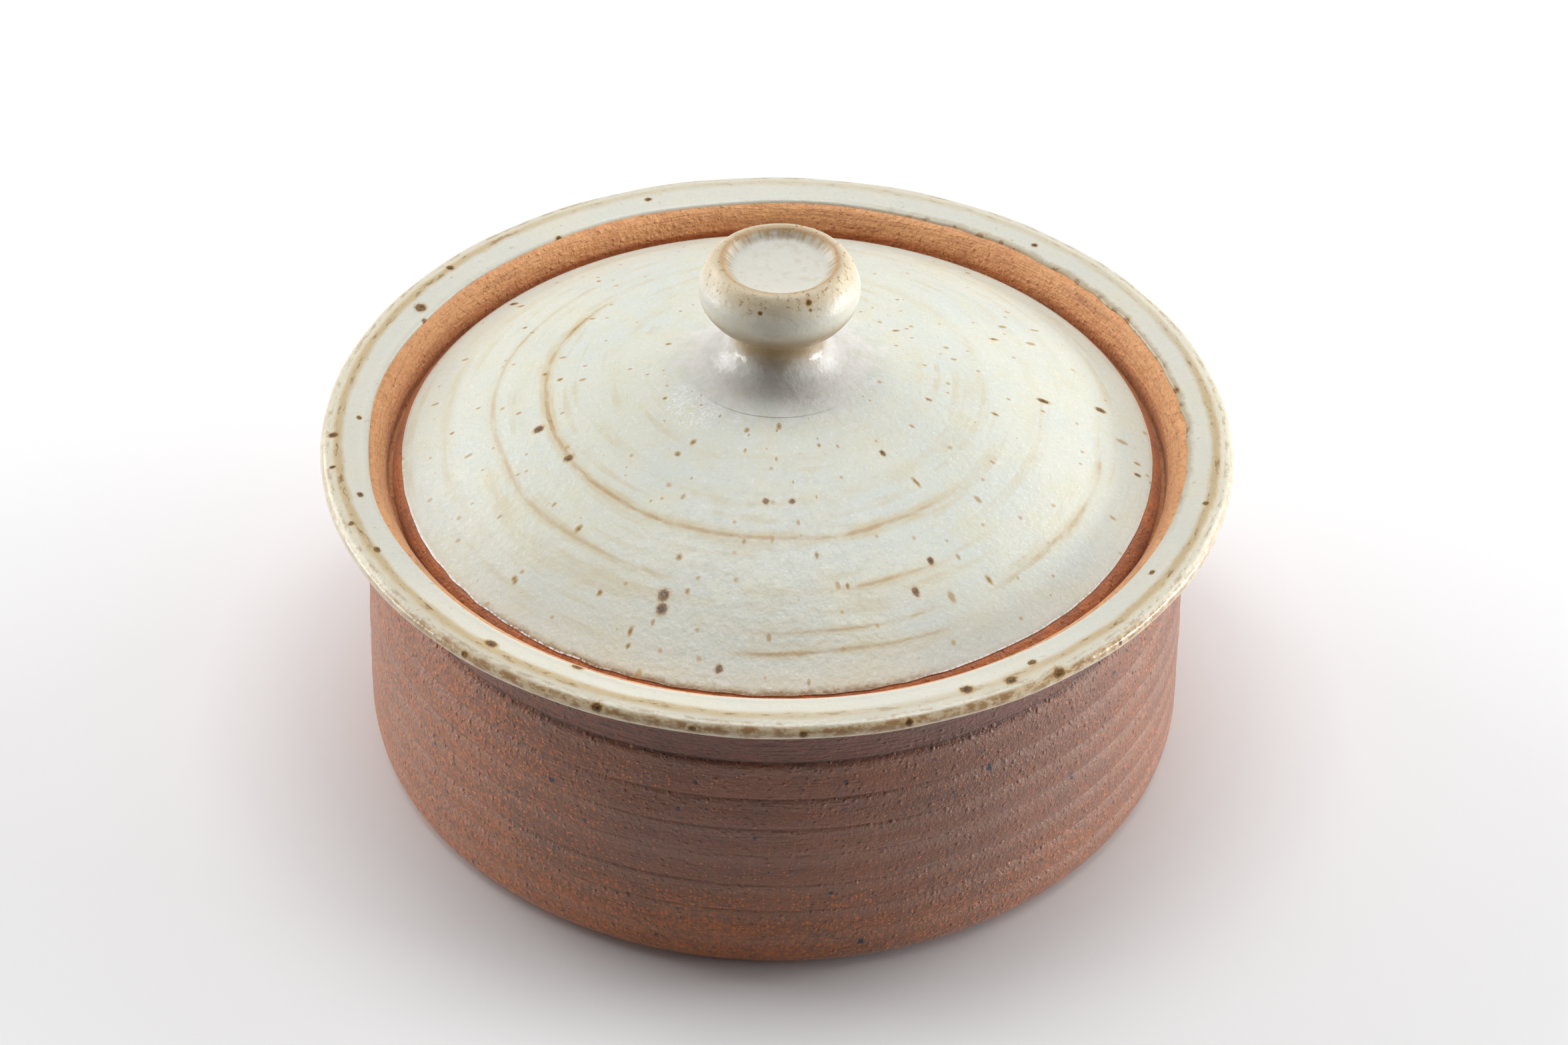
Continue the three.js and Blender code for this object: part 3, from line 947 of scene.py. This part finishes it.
def clay_colour(g, toast):
    """Iron-bearing stoneware: brown, toasted by the fire, with orange grains and blue specks."""
    g.colour = g.mix(g.clouds(30, 3, 0.5, 0.36, 0.64), CLAY_VIOLET, CLAY_BROWN)
    dull = g.range(g.streaks(14, 3, g.z, 3, 0.6), 0.4, 0.66, 0, 0.35)
    g.over(dull, tint(118, 86, 71))
    g.over(g.times(toast, 0.42), CLAY_TOASTED)
    violet = g.clouds(7, 4, 0.6, 0.5, 0.66, 0, 0.45)
    g.over(violet, tint(108, 78, 68))
    g.over(g.clouds(1.6, 4, 0.7, 0.42, 0.66, 0, 0.35), CLAY_WARM)
    cluster = g.times_plus(g.noise(3.5, 4, 0.7), 0.5, g.times(toast, 0.3))
    cluster = g.times_plus(g.noise(16, 3, 0.6), 0.5, cluster)
    crowded = g.range(cluster, 0.34, 0.72, 2.2, 0.75)
    wobble = g.times_plus(g.noise(0.5, 2), 1.0, -0.5)
    climb = g.times_plus(g.radius, -0.5, g.z)
    skin = g.combine(g.times(g.angle, WALL_RADIUS), climb)
    for size, least, most in ((1.1, -0.2, 0.32), (2.9, -0.3, 0.17)):
        grain = g.grains(size, least, most, flat=True, place=skin)
        grain = g.times_plus(grain, crowded, wobble)
        g.over(g.range(grain, 1.15, 0.6), CLAY_ORANGE)
    patches = g.times_plus(toast, 0.2, g.noise(1.3, 5, 0.75))
    g.over(g.range(patches, 0.61, 0.73, 0, 0.6), CLAY_ORANGE)
    g.over(g.clouds(0.7, 3, 0.7, 0.54, 0.7, 0, 0.4), CLAY_DARK)
    for size, least, most in ((3.3, -0.2, 0.085), (8.5, -0.16, 0.07)):
        speck = g.grains(size, least, most, flat=True, place=skin)
        speck = g.times_plus(wobble, 1.2, speck)
        g.over(g.range(speck, 1.5, 0.6, 0, 0.9), CLAY_BLUE)


def clay_finish(g, smooth=0.0):
    """Matt and gritty; smooth is where wet fingers closed the surface and left it a bit shiny."""
    rough = g.clouds(10, 2, 0.5, 0.35, 0.65, 0.42, 0.54)
    rough = g.times(rough, g.range(smooth, 0, 1, 1, 0.9))
    grog = g.range(g.grains(1.7, 0.05, 0.42), 1.2, 0.3)
    drawn = g.streaks(5, 0.55, g.z, 3, 0.6)
    bumps = [
        (g.noise(1.4, 4, 0.65), 0.62, 0.8),
        (drawn, g.times_plus(smooth, 0.0004, 0.00032), 0.8),
        (grog, 0.28, 0.8),
        (g.noise(0.45, 2, 0.6), 0.12, 0.8),
    ]
    dusty = {"Specular_IOR_Level": 0.62, "Sheen_Weight": 0.24, "Sheen_Roughness": 0.4}
    return g.finish(rough, bumps, **dusty)


def crock_clay_material():
    """The gallery is toasted bright orange, the wall only low down and towards the sides."""
    g = Graph("crock_stoneware")
    low = g.range(g.times_plus(g.noise(12, 3), -24, g.z), 26, -10, 0, 1)
    left = g.times_plus(g.noise(18, 3), 0.9, g.facing(-130, -42, 40))
    right = g.times_plus(g.noise(18, 3), 0.9, g.facing(60, 130, 40))
    sides = g.larger(g.range(left, 0.4, 1.3, 0, 0.75), g.range(right, 0.6, 1.5, 0, 0.4))
    low = g.times(low, g.range(g.facing(10, 120, 20), 0, 1, 1, 0.5))
    wall = g.larger(low, sides)
    inside = g.times(g.range(g.radius, 94.4, 93.8), g.range(g.z, 68.5, 69.5))
    mouth = g.times(g.range(g.radius, 99, 98), g.range(g.z, 76.2, 76.6))
    inside = g.larger(inside, mouth)
    bright = g.range(g.times_plus(g.noise(4, 3), -2, g.z), 68.5, 71.0, 0.9, 1.0)
    gallery = g.times(inside, bright)
    clay_colour(g, wall)
    # Painted light: the upper part of each throwing band is painted paler, as if it faced up into
    # the light.
    g.over(g.range(g.attribute("band"), 0.45, 0.95, 0, 0.32), CLAY_PAINTED_LIGHT)
    # Painted shade: the collar is darkened under the flange's overhang, with dark streaks drawn
    # round it; the same mask also marks where the clay is smoothed.
    collar = g.times(g.range(g.z, 59.5, 61.5), g.range(g.radius, 94.1, 94.5))
    g.over(g.times(collar, 0.6), tint(112, 62, 46))
    drawn = g.range(g.streaks(7, 0.6, g.z, 4, 0.7), 0.5, 0.62, 0, 0.6)
    g.over(g.times(drawn, collar), tint(66, 42, 34))
    # Painted shade: the throwing lines are darkened where their grooves would be shaded, more
    # strongly in some places than others.
    groove_strength = g.range(g.streaks(22, 30, g.z, 3, 0.6), 0.36, 0.6, 0.15, 1)
    lines = g.times(g.range(g.attribute("groove"), 0.3, 0.95, 0, 0.3), groove_strength)
    g.over(lines, tint(66, 42, 34))
    # Painted shade in the groove under the collar.
    neck = g.range(g.away(g.times_plus(g.noise(5, 2), 0.8, g.z), NECK + 0.4), 0.8, 0.2, 0, 0.7)
    g.over(g.times(neck, g.range(g.radius, 94, 94.4)), tint(66, 36, 28))
    specks = [(angle, 98.6, height, 3.0, size, size) for angle, height, size in WALL_SPECKS]
    away = g.times_plus(g.noise(0.6, 2), 1.4, g.spots(specks))
    g.over(g.range(away, 2.0, 1.3, 0, 0.9), CLAY_BLUE)
    toasted = g.mix(g.clouds(1.2, 3, 0.7, 0.4, 0.7), tint(242, 176, 116), tint(224, 150, 92))
    turned_lines = g.range(g.streaks(30, 1.2, g.z, 3, 0.6), 0.5, 0.7, 0, 0.35)
    toasted = g.mix(turned_lines, toasted, tint(160, 94, 56))
    toasted = g.mix(g.clouds(5, 4, 0.6, 0.46, 0.7, 0, 0.3), toasted, tint(178, 106, 62))
    toasted = g.mix(g.clouds(0.7, 2, 0.5, 0.62, 0.72, 0, 0.5), toasted, CLAY_DARK)
    g.over(g.times(gallery, 0.95), toasted)
    return clay_finish(g, collar)


def lid_clay_material():
    """Toasted more than the crock, because its bare edge faced the fire."""
    g = Graph("lid_stoneware")
    toast = g.clouds(6, 3, 0.6, 0.3, 0.7, 0.2, 0.7)
    clay_colour(g, toast)
    g.over(g.times_plus(toast, 0.5, 0.25), tint(214, 130, 72))
    return clay_finish(g)


# ---- Object -----------------------------------------------------------------------------------
def on_dome(specks):
    return [(a, r, 88, along, across, 40) for a, r, along, across in specks]


def flange_places():
    top = [(a, r, CREST - 0.5, along, across, 4) for a, r, along, across in FLANGE_SPECKS]
    lip = [(a, RIM - 0.3, z, 1.6, across, tall) for a, z, tall, across in LIP_SPECKS]
    return top + lip


def knob_places():
    return [(a, r, z, size, size, size) for a, r, z, size in KNOB_SPECKS]


def dress(piece, material, body, node):
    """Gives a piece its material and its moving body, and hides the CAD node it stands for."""
    piece.data.materials.append(material)
    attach(piece, body)
    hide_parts(node)


def build_object():
    lining = lining_material()
    dress(make_crock_clay(), crock_clay_material(), "crock", "crock_body")
    dress(make_flange_glaze(), flange_material(), "crock", "crock_body")
    dress(make_inside_glaze(), lining, "crock", "crock_body")
    dress(make_lid_clay(), lid_clay_material(), "lid", "lid")
    dress(make_dome_glaze(), dome_material(), "lid", "lid")
    dress(make_lid_inside_glaze(), lining, "lid", "lid")
    dress(make_knob(), knob_material(), "lid", "lid_knob")


# ---- Stage, light and camera ------------------------------------------------------------------
def make_floor():
    """A plain pale floor, level and far larger than the view."""
    reach = 30.0
    mesh = bpy.data.meshes.new("floor")
    corners = [(-reach, -reach, 0), (reach, -reach, 0), (reach, reach, 0), (-reach, reach, 0)]
    mesh.from_pydata(corners, [], [(0, 1, 2, 3)])
    material = bpy.data.materials.new("pale_paper")
    material.use_nodes = True
    shader = material.node_tree.nodes["Principled BSDF"]
    shader.inputs["Base Color"].default_value = tint(239, 239, 240)
    shader.inputs["Roughness"].default_value = 0.8
    shader.inputs["Specular IOR Level"].default_value = 0.2
    mesh.materials.append(material)
    add_object("floor", mesh)


def area_light(name, place, target, width, height, watts):
    data = bpy.data.lights.new(name, "AREA")
    data.shape = "RECTANGLE"
    data.size, data.size_y = width, height
    data.energy = watts
    light = add_object(name, data)
    light.location = place
    light.rotation_mode = "QUATERNION"
    light.rotation_quaternion = (Vector(target) - Vector(place)).to_track_quat("-Z", "Y")


# The lamps: place and target in metres, width and height in metres, and watts.
LAMPS = {
    "left_box": ((-1.05, 0.55, 0.6), (0, 0, 0.05), 0.8, 0.8, 7.8),
    "right_box": ((1.08, 0.45, 0.6), (0, 0, 0.05), 0.8, 0.8, 6.2),
    "top_box": ((0.0, 0.2, 1.6), (0, 0, 0), 1.2, 0.8, 14),
    "left_strip": ((-1.2, 0.1, 0.14), (0, 0, 0.05), 0.7, 0.2, 4.5),
    "right_strip": ((1.2, 0.02, 0.14), (0, 0, 0.05), 0.7, 0.2, 11),
}


def make_light():
    """Soft boxes at the sides and overhead, two low strips, and a room darker behind the camera."""
    for name, lamp in LAMPS.items():
        area_light(name, *lamp)
    world = bpy.data.worlds.new("studio")
    world.use_nodes = True
    nodes, links = world.node_tree.nodes, world.node_tree.links
    direction = nodes.new("ShaderNodeTexCoord").outputs["Generated"]
    split = nodes.new("ShaderNodeSeparateXYZ")
    room = nodes.new("ShaderNodeMapRange")
    for key, value in {"From Min": -0.3, "From Max": 0.3, "To Min": 0.05, "To Max": 0.4}.items():
        room.inputs[key].default_value = value
    links.new(direction, split.inputs[0])
    links.new(split.outputs[1], room.inputs["Value"])
    links.new(room.outputs[0], nodes["Background"].inputs[1])
    nodes["Background"].inputs[0].default_value = (1.0, 0.99, 0.985, 1)
    bpy.context.scene.world = world


# The view: pitch below the horizon and roll in degrees, lens in millimetres on a 36 mm sensor.
PITCH, ROLL, LENS = 38.805, 0.934, 76.8
# The camera's place from the middle of the rim's plane, as shares of the rim's radius, and the
# rim's radius and height in whole millimetres.
CAMERA_FROM_RIM = (0.0177, -5.8466, 4.4369)
CAMERA_UNIT, RIM_PLANE = 108, 80


def make_camera():
    s, c = math.sin(math.radians(PITCH)), math.cos(math.radians(PITCH))
    sr, cr = math.sin(math.radians(ROLL)), math.cos(math.radians(ROLL))
    right = Vector((cr, sr * s, sr * c))
    up = Vector((-sr, cr * s, cr * c))
    back = Vector((0, -c, s))
    data = bpy.data.cameras.new("camera")
    data.sensor_width, data.lens = 36, LENS
    camera = add_object("camera", data)
    place = Vector(CAMERA_FROM_RIM) * CAMERA_UNIT * MM + Vector((0, 0, RIM_PLANE * MM))
    turn = Matrix((right, up, back)).transposed().to_4x4()
    camera.matrix_world = Matrix.Translation(place) @ turn
    bpy.context.scene.camera = camera


# ---- Scene ------------------------------------------------------------------------------------
build_object()
make_floor()
make_light()
make_camera()
bpy.context.scene.view_settings.view_transform = "Standard"
